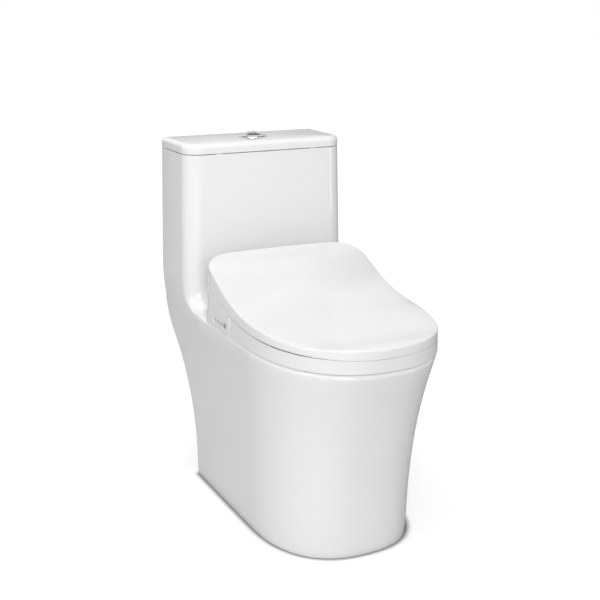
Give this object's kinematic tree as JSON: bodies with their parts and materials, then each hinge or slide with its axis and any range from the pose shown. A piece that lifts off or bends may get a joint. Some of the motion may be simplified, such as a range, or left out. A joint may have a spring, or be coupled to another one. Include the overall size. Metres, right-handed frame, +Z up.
{
  "type": "smart toilet with heated seat",
  "caption": "One-piece flush toilet with skirted ceramic body and a heated washing seat: hinged ring and lid, wash wands, warm-air dryer and dual flush.",
  "frame": {"origin": "floor point under the centre of the toilet's overall box", "axes": "+Z up, -Y to the front of the bowl, +Y to the wall behind the tank, +X to the right as seen from the front"},
  "size_m": [0.38, 0.7, 0.77],
  "materials": {
    "ceramic": "gloss glaze",
    "white_gloss": "gloss",
    "white_matte": "satin",
    "grey_plastic": "matte",
    "valve_white": "satin",
    "valve_blue": "satin",
    "chrome": "polished",
    "steel": "brushed",
    "brass": "satin",
    "rubber_white": "matte",
    "rubber_black": "matte",
    "board_green": "solder mask",
    "key_grey": "satin",
    "key_dark": "satin",
    "heater_foil": "foil"
  },
  "bodies": {
    "toilet": {"ceramic_body": "ceramic", "outlet_seal": "rubber_black", "flush_valve_body": "valve_white", "flush_valve_gasket": "rubber_black", "flush_valve_nut": "valve_white", "flush_valve_head": "valve_blue", "fill_valve": "valve_white", "fill_valve_gasket": "rubber_black", "fill_valve_nut": "valve_white", "fill_valve_cap": "valve_blue", "refill_hose": "rubber_white", "housing_base": "white_matte", "housing_cover": "white_gloss", "control_panel": "white_gloss", "side_panel": "white_gloss", "hinge_pins": "steel", "seat_damper": "grey_plastic", "lid_damper": "grey_plastic", "mounting_plate": "grey_plastic", "mounting_bolts": "steel", "mounting_bushes": "rubber_black", "mounting_nuts": "white_matte", "nozzle_guide": "grey_plastic", "water_heater": "white_matte", "control_board": "board_green", "solenoid_valve": "white_matte", "water_inlet": "brass", "cord_gland": "rubber_black", "fan_casing": "grey_plastic", "dryer_duct": "grey_plastic"},
    "tank_cover": {"tank_lid": "ceramic", "tank_lid_pads": "rubber_white", "flush_button_bezel": "chrome", "bezel_nut": "white_matte"},
    "full_button": {"flush_button_full": "chrome", "push_rod_full": "valve_white"},
    "half_button": {"flush_button_half": "chrome", "push_rod_half": "valve_blue"},
    "canister": {"flush_canister": "valve_white", "flush_seal": "rubber_black"},
    "float": {"fill_valve_float": "grey_plastic"},
    "seat": {"seat_ring_top": "white_gloss", "seat_ring_bottom": "white_matte", "seat_heater": "heater_foil", "seat_bumpers": "rubber_white"},
    "lid": {"lid_shell": "white_gloss", "lid_bumpers": "rubber_white"},
    "rear_wand": {"rear_wash_wand": "white_matte"},
    "front_wand": {"front_wash_wand": "white_matte"},
    "air_flap": {"dryer_flap": "white_matte"},
    "impeller": {"fan_impeller": "grey_plastic"},
    "release": {"release_button": "white_matte"},
    "stop_key": {"key_stop": "key_dark"},
    "rear_wash_key": {"key_rear_wash": "key_grey"},
    "front_wash_key": {"key_front_wash": "key_grey"},
    "dryer_key": {"key_dryer": "key_grey"}
  },
  "joints": [
    {"name": "tank_lid_lift", "type": "slide", "parent": "toilet", "child": "tank_cover", "axis": [0, 0, 1], "range_m": [0, 0.15]},
    {"name": "full_flush_press", "type": "slide", "parent": "tank_cover", "child": "full_button", "axis": [0, 0, -1], "range_m": [0, 0.009], "stiffness_N_per_m": 300, "springref_m": -0.003},
    {"name": "half_flush_press", "type": "slide", "parent": "tank_cover", "child": "half_button", "axis": [0, 0, -1], "range_m": [0, 0.009], "stiffness_N_per_m": 300, "springref_m": -0.003},
    {"name": "canister_lift", "type": "slide", "parent": "toilet", "child": "canister", "axis": [0, 0, 1], "range_m": [0, 0.02]},
    {"name": "float_rise", "type": "slide", "parent": "toilet", "child": "float", "axis": [0, 0, 1], "range_m": [0, 0.06]},
    {"name": "seat_hinge", "type": "hinge", "parent": "toilet", "child": "seat", "pos_m": [0, 0.1, 0.48], "axis": [1, 0, 0], "range_deg": [-95, 0]},
    {"name": "lid_hinge", "type": "hinge", "parent": "seat", "child": "lid", "pos_m": [0, 0.1, 0.48], "axis": [-1, 0, 0], "range_deg": [0, 98]},
    {"name": "rear_wand_slide", "type": "slide", "parent": "toilet", "child": "rear_wand", "axis": [0, -0.9063, -0.4226], "range_m": [0, 0.095]},
    {"name": "front_wand_slide", "type": "slide", "parent": "toilet", "child": "front_wand", "axis": [0, -0.9063, -0.4226], "range_m": [0, 0.095]},
    {"name": "air_flap_swing", "type": "hinge", "parent": "toilet", "child": "air_flap", "pos_m": [0.063, -0.0256, 0.4222], "axis": [-1, 0, 0], "range_deg": [0, 60]},
    {"name": "impeller_spin", "type": "hinge", "parent": "toilet", "child": "impeller", "pos_m": [0.096, 0.066, 0.423], "axis": [0, 0, 1], "continuous": true},
    {"name": "release_press", "type": "slide", "parent": "toilet", "child": "release", "axis": [-1, 0, 0], "range_m": [0, 0.003], "stiffness_N_per_m": 400, "springref_m": -0.002},
    {"name": "stop_key_press", "type": "slide", "parent": "toilet", "child": "stop_key", "axis": [1, 0, 0], "range_m": [0, 0.0012], "stiffness_N_per_m": 400, "springref_m": -0.001},
    {"name": "rear_wash_key_press", "type": "slide", "parent": "toilet", "child": "rear_wash_key", "axis": [1, 0, 0], "range_m": [0, 0.0012], "stiffness_N_per_m": 400, "springref_m": -0.001},
    {"name": "front_wash_key_press", "type": "slide", "parent": "toilet", "child": "front_wash_key", "axis": [1, 0, 0], "range_m": [0, 0.0012], "stiffness_N_per_m": 400, "springref_m": -0.001},
    {"name": "dryer_key_press", "type": "slide", "parent": "toilet", "child": "dryer_key", "axis": [1, 0, 0], "range_m": [0, 0.0012], "stiffness_N_per_m": 400, "springref_m": -0.001}
  ],
  "couplings": [
    {"joint": "canister_lift", "follows": "full_flush_press", "ratio": 2.2222}
  ]
}
